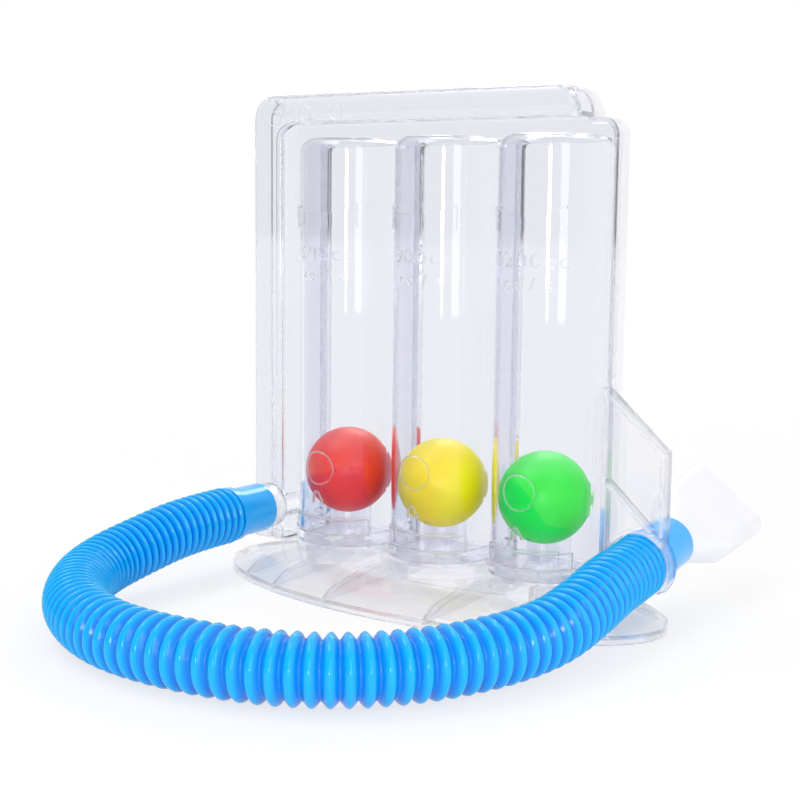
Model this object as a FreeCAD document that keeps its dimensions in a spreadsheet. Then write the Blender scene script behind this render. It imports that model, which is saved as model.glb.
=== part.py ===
import FreeCAD, Part
import math
import os
import Sketcher

# Three-ball incentive spirometer, millimetres.
# Z is up and the floor is at 0. The columns face -Y. The origin is the middle of the foot.

os.makedirs("parts", exist_ok=True)
doc = FreeCAD.newDocument("IncentiveSpirometer")
Vector = FreeCAD.Vector

# Driving dimensions
SIZES = [
    ("column_pitch", 37.0),
    ("column_radius", 16.0),
    ("column_wall", 1.2),
    ("column_axis_y", 4.0),
    ("column_drop", 14.7),
    ("column_cap_round", 4.0),
    ("collar_step", 1.0),
    ("collar_height", 4.0),
    ("seam_y", 13.0),
    ("shell_wall", 1.4),
    ("body_left", 78.0),
    ("body_right", 53.6),
    ("bar_right", 45.3),
    ("body_top", 156.7),
    ("body_corner", 7.5),
    ("shoulder_corner", 5.0),
    ("bar_right_corner", 9.0),
    ("duct_foot", 6.6),
    ("duct_width", 13.5),
    ("duct_height", 9.5),
    ("duct_front_y", 3.0),
    ("duct_inner_corner", 5.0),
    ("duct_edge_round", 3.0),
    ("cover_depth", 7.0),
    ("cover_wall", 1.5),
    ("divider_wall", 1.0),
    ("plenum_drop", 13.7),
    ("deck_height", 12.7),
    ("mark_drop", 42.6),
    ("mark_height", 7.4),
    ("mark_sag", 3.3),
    ("mark_step", 0.8),
    ("mark_half_angle", 45.0),
    ("label_height", 5.4),
    ("peg_radius", 1.4),
    ("peg_length", 4.0),
    ("peg_height", 17.5),
    ("fit_clearance", 0.1),
    ("ball_diameter", 28.0),
    ("ball_wall", 0.7),
    ("ball_rest_height", 21.0),
    ("ball_clearance", 0.15),
    ("floor_wall", 1.6),
    ("floor_hole_small", 2.6),
    ("floor_hole_step", 0.7),
    ("fin_wall", 1.2),
    ("fin_reach", 9.0),
    ("nozzle_x", 70.0),
    ("nozzle_height", 19.0),
    ("nozzle_radius", 7.0),
    ("nozzle_wall", 1.3),
    ("nozzle_reach", 15.0),
    ("nozzle_ring_radius", 7.5),
    ("nozzle_ring_width", 4.0),
    ("foot_half_length", 78.5),
    ("foot_half_depth", 35.0),
    ("foot_rim_height", 2.8),
    ("foot_dome_height", 8.0),
    ("dome_edge_inset_x", 5.0),
    ("dome_edge_inset_y", 4.0),
    ("dome_edge_share", 0.46),
    ("dome_shoulder_inset_x", 17.0),
    ("dome_shoulder_inset_y", 11.0),
    ("dome_shoulder_share", 0.77),
    ("dome_top_inset_x", 28.5),
    ("dome_top_inset_y", 18.0),
    ("foot_wall", 1.6),
    ("foot_rib_wall", 1.2),
    ("foot_rib_inner", 18.5),
    ("foot_rib_middle", 41.5),
    ("foot_rib_outer", 57.5),
    ("foot_vent_width", 16.0),
    ("foot_vent_height", 1.4),
    ("bracket_top", 69.0),
    ("bracket_shoulder", 51.3),
    ("bracket_front_y", 8.0),
    ("bracket_wall", 1.3),
    ("bracket_width", 20.1),
    ("bracket_gap", 0.4),
    ("bracket_foot", 10.0),
    ("bracket_rib_top", 43.0),
    ("bracket_rib_foot", 25.0),
    ("clip_reach", 11.95),
    ("clip_height", 17.2),
    ("clip_clearance", 0.6),
    ("clip_wall", 1.0),
    ("hose_radius", 9.15),
    ("hose_bore", 7.4),
    ("cuff_radius", 8.2),
    ("cuff_length", 16.5),
    ("cuff_collar_radius", 9.0),
    ("cuff_collar_width", 2.5),
    ("cuff_collar_bevel", 0.5),
    ("mouthpiece_length", 60.0),
    ("mouthpiece_spigot", 15.0),
    ("mouthpiece_width", 30.5),
    ("mouthpiece_thickness", 11.0),
    ("mouthpiece_neck_height", 33.0),
    ("mouthpiece_neck_width", 28.0),
    ("mouthpiece_neck_thickness", 12.0),
    ("mouthpiece_corner", 4.2),
    ("mouthpiece_side_angle", 20.0),
    ("mouthpiece_seat_gap", 0.3),
    ("mouthpiece_play", 0.1),
    ("mouthpiece_wall", 1.3),
]

# The hose's route from the nozzle's cuff to the mouthpiece's cuff, chosen by hand along the photograph
HOSE_ROUTE = [
    (-70.0, -19.5, 19.0),
    (-70.0, -39.1, 19.0),
    (-72.1, -75.6, 12.2),
    (-54.9, -107.0, 9.8),
    (-26.9, -124.2, 9.4),
    (6.0, -125.3, 9.4),
    (35.5, -109.5, 9.4),
    (52.9, -82.7, 9.4),
    (63.3, -45.6, 10.8),
    (66.8, -16.0, 15.4),
    (66.0, 1.0, 16.1),
    (65.3, 16.0, 17.8),
]
# The way that the mouthpiece's wide side runs
MOUTHPIECE_WIDE_WAY = (0.70, 0.43, -0.57)

sheet = doc.addObject("Spreadsheet::Sheet", "Sizes")
for row, (alias, value) in enumerate(SIZES, start=1):
    sheet.set("A%d" % row, alias)
    sheet.set("B%d" % row, str(value))
    sheet.setAlias("B%d" % row, alias)
doc.recompute()


def size(text):
    """The value of an expression of the sheet's aliases."""
    value = sheet.evalExpression(text)
    return float(getattr(value, "Value", value))


def bound(text):
    """The same expression as an object outside the sheet writes it."""
    words = []
    word = ""
    for mark in text + " ":
        if mark.isalnum() or mark in "_.":
            word += mark
            continue
        words.append("Sizes." + word if word in ALIASES else word)
        words.append(mark)
        word = ""
    return "".join(words).strip()


ALIASES = {alias for alias, value in SIZES}
COLUMNS = (("600", "-1"), ("900", "0"), ("1200", "1"))
COLUMN_TOP = "(body_top - column_drop)"
PLENUM_FOOT = "(body_top - plenum_drop)"
MARK_FOOT = "(body_top - mark_drop)"


def new_body(label):
    """An empty PartDesign body."""
    body = doc.addObject("PartDesign::Body", label)
    body.Label = label
    body.AllowCompound = True
    return body


def origin_feature(body, role):
    """The plane or axis of a body's own origin with this role."""
    for feature in body.Origin.OriginFeatures:
        if feature.Role == role:
            return feature
    raise ValueError(role)


def new_sketch(body, name, role, height="0"):
    """A sketch on a body's own plane, moved along the plane's normal."""
    sketch = body.newObject("Sketcher::SketchObject", name)
    sketch.AttachmentSupport = [(origin_feature(body, role), "")]
    sketch.MapMode = "FlatFace"
    sketch.setExpression("AttachmentOffset.Base.z", bound(height))
    return sketch


def fix_point(sketch, geometry, end, x=None, y=None):
    """Hold a sketch point at expressions for its x and y."""
    for kind, text in (("DistanceX", x), ("DistanceY", y)):
        if text is None:
            continue
        value = size(text)
        index = sketch.addConstraint(Sketcher.Constraint(kind, -1, 1, geometry, end, value))
        sketch.setExpression("Constraints[%d]" % index, bound(text))


def fix_radius(sketch, geometry, text):
    """Hold an arc's or a circle's radius at an expression."""
    index = sketch.addConstraint(Sketcher.Constraint("Radius", geometry, size(text)))
    sketch.setExpression("Constraints[%d]" % index, bound(text))


def circle(sketch, x, y, radius):
    """A circle whose centre and radius are expressions."""
    middle = Vector(size(x), size(y), 0)
    index = sketch.addGeometry(Part.Circle(middle, Vector(0, 0, 1), size(radius)), False)
    fix_point(sketch, index, 3, x, y)
    fix_radius(sketch, index, radius)


def polygon(sketch, points):
    """A closed outline of straight lines through points given as expressions."""
    places = [Vector(size(x), size(y), 0) for x, y in points]
    first = sketch.GeometryCount
    count = len(points)
    for index in range(count):
        sketch.addGeometry(Part.LineSegment(places[index], places[(index + 1) % count]), False)
    for index in range(count):
        following = first + (index + 1) % count
        sketch.addConstraint(Sketcher.Constraint("Coincident", first + index, 2, following, 1))
    for index, (x, y) in enumerate(points):
        fix_point(sketch, first + index, 1, x, y)


def rectangle(sketch, left, right, low, high):
    """A rectangle between four expressions."""
    polygon(sketch, [(left, low), (right, low), (right, high), (left, high)])


def rounded_outline(sketch, corners):
    """A closed outline of upright and level lines, some corners rounded: (x, y, radius or None)."""
    count = len(corners)
    places = [Vector(size(x), size(y), 0) for x, y, radius in corners]
    rounds = [size(radius) if radius else 0.0 for x, y, radius in corners]
    lines = []
    for index in range(count):
        start = places[index]
        end = places[(index + 1) % count]
        along = (end - start).normalize()
        line = Part.LineSegment(start + along * rounds[index], end - along * rounds[(index + 1) % count])
        lines.append(sketch.addGeometry(line, False))
    for index in range(count):
        before = lines[index - 1]
        after = lines[index]
        x, y, radius = corners[index]
        if radius:
            entry = (places[index] - places[index - 1]).normalize()
            leave = (places[(index + 1) % count] - places[index]).normalize()
            middle = places[index] + (leave - entry) * rounds[index]
            left_turn = entry.cross(leave).z > 0
            start_point = places[index] - entry * rounds[index]
            end_point = places[index] + leave * rounds[index]
            if not left_turn:
                start_point, end_point = end_point, start_point
            angles = [math.atan2(p.y - middle.y, p.x - middle.x) for p in (start_point, end_point)]
            arc = Part.ArcOfCircle(Part.Circle(middle, Vector(0, 0, 1), rounds[index]), *angles)
            added = sketch.addGeometry(arc, False)
            first_end, last_end = (1, 2) if left_turn else (2, 1)
            sketch.addConstraint(Sketcher.Constraint("Tangent", before, 2, added, first_end))
            sketch.addConstraint(Sketcher.Constraint("Tangent", after, 1, added, last_end))
            fix_radius(sketch, added, radius)
        else:
            sketch.addConstraint(Sketcher.Constraint("Coincident", before, 2, after, 1))
    for index in range(count):
        x, y, radius = corners[index]
        next_x = corners[(index + 1) % count][0]
        if x == next_x:
            sketch.addConstraint(Sketcher.Constraint("Vertical", lines[index]))
            fix_point(sketch, lines[index], 1, x=x)
        else:
            sketch.addConstraint(Sketcher.Constraint("Horizontal", lines[index]))
            fix_point(sketch, lines[index], 1, y=y)


def column_outline(sketch, column, radius, back):
    """A column's section: half a circle to the front, straight sides back to the seam."""
    x = "(%s) * column_pitch" % column
    left = "%s - (%s)" % (x, radius)
    right = "%s + (%s)" % (x, radius)
    middle = Vector(size(x), size("column_axis_y"), 0)
    reach = size(radius)
    arc = Part.ArcOfCircle(Part.Circle(middle, Vector(0, 0, 1), reach), math.pi, 2 * math.pi)
    corners = [Vector(middle.x + reach, middle.y, 0), Vector(middle.x + reach, size(back), 0),
               Vector(middle.x - reach, size(back), 0), Vector(middle.x - reach, middle.y, 0)]
    bend = sketch.addGeometry(arc, False)
    sides = [sketch.addGeometry(Part.LineSegment(corners[i], corners[i + 1]), False) for i in range(3)]
    sketch.addConstraint(Sketcher.Constraint("Coincident", bend, 2, sides[0], 1))
    sketch.addConstraint(Sketcher.Constraint("Coincident", sides[0], 2, sides[1], 1))
    sketch.addConstraint(Sketcher.Constraint("Coincident", sides[1], 2, sides[2], 1))
    sketch.addConstraint(Sketcher.Constraint("Coincident", sides[2], 2, bend, 1))
    fix_point(sketch, bend, 3, x, "column_axis_y")
    fix_point(sketch, sides[0], 1, right, "column_axis_y")
    fix_point(sketch, sides[0], 2, right, back)
    fix_point(sketch, sides[1], 2, left, back)
    fix_point(sketch, sides[2], 2, y="column_axis_y")


def band_outline(sketch, column, inner, outer):
    """Part of a ring round a column's front, as wide as the marks."""
    x = "(%s) * column_pitch" % column
    middle = Vector(size(x), size("column_axis_y"), 0)
    half = math.radians(size("mark_half_angle"))
    start = 1.5 * math.pi - half
    end = 1.5 * math.pi + half
    arcs = []
    for radius in (inner, outer):
        arc = Part.ArcOfCircle(Part.Circle(middle, Vector(0, 0, 1), size(radius)), start, end)
        arcs.append(sketch.addGeometry(arc, False))
    for arc, radius in zip(arcs, (inner, outer)):
        fix_point(sketch, arc, 3, x, "column_axis_y")
        fix_radius(sketch, arc, radius)
        for point, side in ((1, "-"), (2, "+")):
            fix_point(sketch, arc, point, x="%s %s (%s) * sin(mark_half_angle)" % (x, side, radius))
    for point in (1, 2):
        ends = [sketch.getPoint(arc, point) for arc in arcs]
        line = sketch.addGeometry(Part.LineSegment(ends[0], ends[1]), False)
        sketch.addConstraint(Sketcher.Constraint("Coincident", arcs[0], point, line, 1))
        sketch.addConstraint(Sketcher.Constraint("Coincident", arcs[1], point, line, 2))


def pad(body, sketch, length, reversed_way=False):
    """Add a sketch's outline over a length along the sketch's normal."""
    feature = body.newObject("PartDesign::Pad", sketch.Name + "Pad")
    feature.Profile = sketch
    feature.Length = size(length)
    feature.setExpression("Length", bound(length))
    feature.Reversed = reversed_way
    sketch.Visibility = False
    doc.recompute()
    return feature


def pocket(body, sketch, length, reversed_way=False):
    """Cut a sketch's outline over a length against the sketch's normal."""
    before = body.Shape.Volume
    feature = body.newObject("PartDesign::Pocket", sketch.Name + "Pocket")
    feature.Profile = sketch
    feature.Length = size(length)
    feature.setExpression("Length", bound(length))
    feature.Reversed = reversed_way
    sketch.Visibility = False
    doc.recompute()
    if body.Shape.Volume >= before:
        raise ValueError(sketch.Name + " cuts nothing")
    return feature


def edges_where(shape, test):
    """Names of the edges whose ends and middle all pass a test."""
    names = []
    for number, edge in enumerate(shape.Edges, start=1):
        middle = edge.valueAt((edge.FirstParameter + edge.LastParameter) / 2)
        if all(test(point) for point in [vertex.Point for vertex in edge.Vertexes] + [middle]):
            names.append("Edge%d" % number)
    return names


def fillet(body, name, radius, test):
    """Round the edges that a test picks from the body's tip."""
    base = body.Tip
    feature = body.newObject("PartDesign::Fillet", name)
    feature.Base = (base, edges_where(base.Shape, test))
    feature.Radius = size(radius)
    feature.setExpression("Radius", bound(radius))
    doc.recompute()
    return feature


def revolved(body, name, profile):
    """A body turned round its own Z axis from a profile of (radius, height) expressions."""
    sketch = new_sketch(body, name, "XZ_Plane")
    polygon(sketch, profile)
    feature = body.newObject("PartDesign::Revolution", name + "Turn")
    feature.Profile = sketch
    feature.ReferenceAxis = (sketch, ["V_Axis"])
    feature.Angle = 360
    sketch.Visibility = False
    doc.recompute()
    return feature


def near(a, b):
    return abs(a - b) < 0.01


# Outline that the front shell and the rear cover share, inset by a wall
def body_outline(sketch, inset):
    left = "-body_left + %s" % inset
    right = "body_right - %s" % inset
    low = "duct_foot + %s" % inset
    step_x = "-body_left + duct_width - %s" % inset
    step_z = "deck_height + %s" % inset
    bar_end = "bar_right - %s" % inset
    shoulder = "body_top - duct_height - %s" % inset
    high = "body_top - %s" % inset
    rounded_outline(sketch, [
        (left, low, None),
        (step_x, low, None),
        (step_x, step_z, None),
        (right, step_z, None),
        (right, shoulder, "shoulder_corner - %s" % inset),
        (bar_end, shoulder, None),
        (bar_end, high, "bar_right_corner - %s" % inset),
        (left, high, "body_corner - %s" % inset),
    ])


# The duct runs down the left side and along the top, inset by a wall
def duct_outline(sketch, inset):
    left = "-body_left + %s" % inset
    right = "bar_right - %s" % inset
    low = "duct_foot + %s" % inset
    step_x = "-body_left + duct_width - %s" % inset
    ledge = "body_top - duct_height + %s" % inset
    high = "body_top - %s" % inset
    rounded_outline(sketch, [
        (left, low, None),
        (step_x, low, None),
        (step_x, ledge, "duct_inner_corner + %s" % inset),
        (right, ledge, None),
        (right, high, "bar_right_corner - 2 * %s" % inset),
        (left, high, "body_corner - %s" % inset),
    ])


def make_front_shell():
    """Clear front: flange, air duct, three half-round columns with collars and raised marks."""
    body = new_body("front_shell")
    plate = new_sketch(body, "FlangeOutline", "XZ_Plane", "-seam_y")
    body_outline(plate, "0")
    pad(body, plate, "shell_wall")

    marks = new_sketch(body, "MarkBands", "XY_Plane", MARK_FOOT)
    for name, column in COLUMNS:
        band_outline(marks, column, "column_radius - column_wall / 2", "column_radius + mark_step")
    pad(body, marks, "mark_height")
    saddles = new_sketch(body, "MarkSaddles", "XZ_Plane", "-column_axis_y")
    half_width = "(column_radius + mark_step) * sin(mark_half_angle)"
    sweep = "((%s) ^ 2 + mark_sag ^ 2) / (2 * mark_sag)" % half_width
    for name, column in COLUMNS:
        circle(saddles, "(%s) * column_pitch" % column,
               "%s + mark_height - mark_sag + %s" % (MARK_FOOT, sweep), sweep)
    pocket(body, saddles, "column_radius + mark_step", reversed_way=True)

    labels = new_sketch(body, "LabelBands", "XY_Plane", "deck_height + collar_height / 2")
    for name, column in COLUMNS:
        band_outline(labels, column, "column_radius - column_wall / 2", "column_radius + mark_step")
    pad(body, labels, "label_height + collar_height / 2")

    columns = new_sketch(body, "ColumnOutlines", "XY_Plane", "deck_height")
    for name, column in COLUMNS:
        column_outline(columns, column, "column_radius", "seam_y")
    pad(body, columns, COLUMN_TOP + " - deck_height")
    top = size(COLUMN_TOP)
    front = size("seam_y - shell_wall")
    fillet(body, "ColumnCaps", "column_cap_round", lambda p: near(p.z, top) and p.y < front + 0.01
           and not near(p.y, front))

    collars = new_sketch(body, "CollarOutlines", "XY_Plane", "deck_height")
    for name, column in COLUMNS:
        column_outline(collars, column, "column_radius + collar_step", "seam_y")
    pad(body, collars, "collar_height")

    duct = new_sketch(body, "DuctOutline", "XZ_Plane", "-seam_y")
    duct_outline(duct, "0")
    pad(body, duct, "seam_y - duct_front_y")
    front_y = size("duct_front_y")
    fillet(body, "DuctEdges", "duct_edge_round", lambda p: near(p.y, front_y))

    pegs = new_sketch(body, "PegOutlines", "XZ_Plane", "-seam_y")
    for step in ("-1.5", "-0.5", "0.5"):
        circle(pegs, "(%s) * column_pitch" % step, "peg_height", "peg_radius")
    pad(body, pegs, "peg_length")

    cavity = new_sketch(body, "DuctCavity", "XZ_Plane", "-seam_y")
    duct_outline(cavity, "shell_wall")
    pocket(body, cavity, "seam_y - duct_front_y - shell_wall", reversed_way=True)

    hollows = new_sketch(body, "ColumnHollows", "XY_Plane", "deck_height")
    for name, column in COLUMNS:
        column_outline(hollows, column, "column_radius - column_wall", "seam_y + 1")
    pocket(body, hollows, COLUMN_TOP + " - deck_height - column_wall", reversed_way=True)
    inner_top = size(COLUMN_TOP + " - column_wall")
    fillet(body, "HollowCaps", "column_cap_round - column_wall",
           lambda p: near(p.z, inner_top) and p.y < front)

    outlet = new_sketch(body, "OutletHole", "XZ_Plane", "-seam_y")
    circle(outlet, "-nozzle_x", "nozzle_height", "nozzle_radius - nozzle_wall")
    pocket(body, outlet, "seam_y - duct_front_y + 1", reversed_way=True)
    return body


def make_rear_cover():
    """Clear tray that closes the columns and the duct, with ribs between the air paths."""
    body = new_body("rear_cover")
    outer = new_sketch(body, "CoverOutline", "XZ_Plane", "-seam_y")
    body_outline(outer, "0")
    pad(body, outer, "cover_depth", reversed_way=True)
    inner = new_sketch(body, "CoverHollow", "XZ_Plane", "-seam_y")
    body_outline(inner, "cover_wall")
    pocket(body, inner, "cover_depth - cover_wall")
    dividers = new_sketch(body, "DividerRibs", "XZ_Plane", "-seam_y")
    for step in ("-1.5 * column_pitch - divider_wall", "-0.5 * column_pitch", "0.5 * column_pitch"):
        rectangle(dividers, "%s - divider_wall / 2" % step, "%s + divider_wall / 2" % step,
                  "deck_height + cover_wall / 2", PLENUM_FOOT)
    pad(body, dividers, "cover_depth - cover_wall / 2", reversed_way=True)
    return body


def make_column_floor(name, column, number):
    """Plug under a column: inlet hole and four fins that cradle the ball."""
    body = new_body("column_floor_" + name)
    body.setExpression("Placement.Base.x", bound("(%s) * column_pitch" % column))
    body.setExpression("Placement.Base.z", bound("deck_height"))
    plate = new_sketch(body, "FloorOutline" + name, "XY_Plane")
    column_outline(plate, "0", "column_radius - column_wall - fit_clearance", "seam_y")
    pad(body, plate, "floor_wall")
    fins = new_sketch(body, "FinOutline" + name, "XY_Plane", "floor_wall / 2")
    reach = "fin_reach"
    half = "fin_wall / 2"
    axis = "column_axis_y"
    polygon(fins, [
        ("-(%s)" % half, "%s - %s" % (axis, reach)), (half, "%s - %s" % (axis, reach)),
        (half, "%s - %s" % (axis, half)), (reach, "%s - %s" % (axis, half)),
        (reach, "%s + %s" % (axis, half)), (half, "%s + %s" % (axis, half)),
        (half, "%s + %s" % (axis, reach)), ("-(%s)" % half, "%s + %s" % (axis, reach)),
        ("-(%s)" % half, "%s + %s" % (axis, half)), ("-(%s)" % reach, "%s + %s" % (axis, half)),
        ("-(%s)" % reach, "%s - %s" % (axis, half)), ("-(%s)" % half, "%s - %s" % (axis, half)),
    ])
    cradle = "ball_rest_height - deck_height"
    pad(body, fins, "%s + fin_reach ^ 2 / ball_diameter - floor_wall / 2" % cradle)
    hollow = new_sketch(body, "CradleHollow" + name, "YZ_Plane")
    radius = "ball_diameter / 2 + ball_clearance"
    middle = "%s + ball_diameter / 2" % cradle
    arc = Part.ArcOfCircle(Part.Circle(Vector(size(axis), size(middle), 0), Vector(0, 0, 1), size(radius)),
                           math.pi, 2 * math.pi)
    bend = hollow.addGeometry(arc, False)
    left = Vector(size(axis) - size(radius), size(middle), 0)
    right = Vector(size(axis) + size(radius), size(middle), 0)
    chord = hollow.addGeometry(Part.LineSegment(right, left), False)
    hollow.addConstraint(Sketcher.Constraint("Coincident", bend, 2, chord, 1))
    hollow.addConstraint(Sketcher.Constraint("Coincident", bend, 1, chord, 2))
    fix_point(hollow, bend, 3, axis, middle)
    fix_radius(hollow, bend, radius)
    fix_point(hollow, bend, 1, y=middle)
    fix_point(hollow, bend, 2, y=middle)
    before = body.Shape.Volume
    groove = body.newObject("PartDesign::Groove", "Cradle" + name)
    groove.Profile = hollow
    groove.ReferenceAxis = (hollow, ["Edge2"])
    groove.Angle = 360
    doc.recompute()
    if body.Shape.Volume >= before:
        raise ValueError("cradle cuts nothing")
    hole = new_sketch(body, "InletHoles" + name, "XY_Plane")
    spread = "fin_reach / 2 + fin_wall / 2"
    for side_x in ("", "-"):
        for side_y in ("+", "-"):
            circle(hole, "%s(%s)" % (side_x, spread), "%s %s (%s)" % (axis, side_y, spread),
                   "floor_hole_small + %d * floor_hole_step" % number)
    pocket(body, hole, "floor_wall", reversed_way=True)
    return body


def make_ball(label, column):
    """Hollow ball resting on its cradle."""
    outer = doc.addObject("Part::Sphere", label + "Outside")
    inner = doc.addObject("Part::Sphere", label + "Inside")
    outer.setExpression("Radius", bound("ball_diameter / 2"))
    inner.setExpression("Radius", bound("ball_diameter / 2 - ball_wall"))
    ball = doc.addObject("Part::Cut", label)
    ball.Base = outer
    ball.Tool = inner
    ball.Label = label
    ball.setExpression("Placement.Base.x", bound("(%s) * column_pitch" % column))
    ball.setExpression("Placement.Base.y", bound("column_axis_y"))
    ball.setExpression("Placement.Base.z", bound("ball_rest_height + ball_diameter / 2"))
    return ball


def make_outlet_nozzle():
    """Spigot on the duct's face that the hose's cuff pushes on."""
    body = new_body("outlet_nozzle")
    bore = "nozzle_radius - nozzle_wall"
    revolved(body, "NozzleProfile", [
        (bore, "0"), ("nozzle_ring_radius", "0"), ("nozzle_ring_radius", "nozzle_ring_width"),
        ("nozzle_radius", "nozzle_ring_width"), ("nozzle_radius", "nozzle_ring_width + nozzle_reach"),
        (bore, "nozzle_ring_width + nozzle_reach"),
    ])
    body.Placement = FreeCAD.Placement(Vector(0, 0, 0), FreeCAD.Rotation(Vector(1, 0, 0), 90))
    body.setExpression("Placement.Base.x", bound("-nozzle_x"))
    body.setExpression("Placement.Base.y", bound("duct_front_y"))
    body.setExpression("Placement.Base.z", bound("nozzle_height"))
    return body


def ellipse_section(name, length, depth, height):
    """One level outline of the foot's dome."""
    section = doc.addObject("Part::Ellipse", name)
    section.setExpression("MajorRadius", bound(length))
    section.setExpression("MinorRadius", bound(depth))
    section.setExpression("Placement.Base.z", bound(height))
    section.Visibility = False
    return section


def dome(name, inset):
    """The foot's outside, or its inside when inset by the wall."""
    levels = [
        ("0", "0", "0"),
        ("dome_edge_inset_x", "dome_edge_inset_y", "dome_edge_share"),
        ("dome_shoulder_inset_x", "dome_shoulder_inset_y", "dome_shoulder_share"),
        ("dome_top_inset_x", "dome_top_inset_y", "1"),
    ]
    rim = "foot_rim_height - (%s)" % inset
    sections = []
    for number, (back_x, back_y, share) in enumerate(levels):
        height = "%s + %s * (foot_dome_height - foot_rim_height)" % (rim, share)
        sections.append(ellipse_section("%sLevel%d" % (name, number),
                                        "foot_half_length - %s - (%s)" % (back_x, inset),
                                        "foot_half_depth - %s - (%s)" % (back_y, inset), height))
    cap = doc.addObject("Part::Loft", name + "Dome")
    cap.Sections = sections
    cap.Solid = True
    cap.Ruled = False
    rim_outline = ellipse_section(name + "RimOutline", "foot_half_length - (%s)" % inset,
                                  "foot_half_depth - (%s)" % inset, "0")
    wall = doc.addObject("Part::Extrusion", name + "Rim")
    wall.Base = rim_outline
    wall.DirMode = "Custom"
    wall.Dir = Vector(0, 0, 1)
    wall.Solid = True
    wall.setExpression("LengthFwd", bound(rim))
    both = doc.addObject("Part::MultiFuse", name + "Form")
    both.Shapes = [cap, wall]
    return both


def block(name, low, high):
    """A box between two corners given as expressions."""
    box = doc.addObject("Part::Box", name)
    for axis, length, start, end in zip("xyz", ("Length", "Width", "Height"), low, high):
        box.setExpression(length, bound("(%s) - (%s)" % (end, start)))
        box.setExpression("Placement.Base.%s" % axis, bound(start))
    return box


def plinth(name, inset, low, high):
    """The raised block that the columns stand on, inset by a wall."""
    body = new_body(name)
    outline = new_sketch(body, name + "Outline", "XY_Plane", low)
    for label, column in COLUMNS:
        column_outline(outline, column, "column_radius + collar_step - (%s)" % inset,
                       "seam_y + cover_depth - (%s)" % inset)
    pad(body, outline, "(%s) - (%s)" % (high, low))
    return body


def make_base_foot():
    """Clear oval foot: domed skirt, plinth under the columns, ribs beneath, air vents at the back."""
    outside = dome("FootOutside", "0")
    block_up = plinth("PlinthOutside", "0", "foot_rim_height", "deck_height")
    solid = doc.addObject("Part::MultiFuse", "FootSolid")
    solid.Shapes = [outside, block_up]
    inside = dome("FootInside", "foot_wall")
    block_in = plinth("PlinthInside", "foot_wall", "0", "deck_height - foot_wall")
    void = doc.addObject("Part::MultiFuse", "FootVoid")
    void.Shapes = [inside, block_in]
    ribs = []
    places = [side + name for side in ("-", "") for name in ("foot_rib_inner", "foot_rib_middle", "foot_rib_outer")]
    for number, place in enumerate(places):
        ribs.append(block("FootRib%d" % number,
                          ("%s - foot_rib_wall / 2" % place, "-foot_half_depth", "foot_wall / 2"),
                          ("%s + foot_rib_wall / 2" % place, "foot_half_depth", "deck_height")))
    rib_set = doc.addObject("Part::MultiFuse", "FootRibs")
    rib_set.Shapes = ribs
    hollow = doc.addObject("Part::Cut", "FootHollow")
    hollow.Base = void
    hollow.Tool = rib_set
    shell = doc.addObject("Part::Cut", "FootShell")
    shell.Base = solid
    shell.Tool = hollow
    openings = []
    for number, (name, column) in enumerate(COLUMNS):
        hole = doc.addObject("Part::Cylinder", "FootInlet" + name)
        hole.setExpression("Radius", bound("fin_reach"))
        hole.setExpression("Height", bound("foot_wall * 2"))
        hole.setExpression("Placement.Base.x", bound("(%s) * column_pitch" % column))
        hole.setExpression("Placement.Base.y", bound("column_axis_y"))
        hole.setExpression("Placement.Base.z", bound("deck_height - foot_wall * 1.5"))
        vent = block("FootVent" + name,
                     ("(%s) * column_pitch - foot_vent_width / 2" % column, "foot_half_depth / 2", "-1"),
                     ("(%s) * column_pitch + foot_vent_width / 2" % column, "foot_half_depth + 1",
                      "foot_vent_height"))
        openings += [hole, vent]
    opening_set = doc.addObject("Part::MultiFuse", "FootOpenings")
    opening_set.Shapes = openings
    foot = doc.addObject("Part::Cut", "base_foot")
    foot.Base = shell
    foot.Tool = opening_set
    foot.Label = "base_foot"
    return foot


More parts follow.
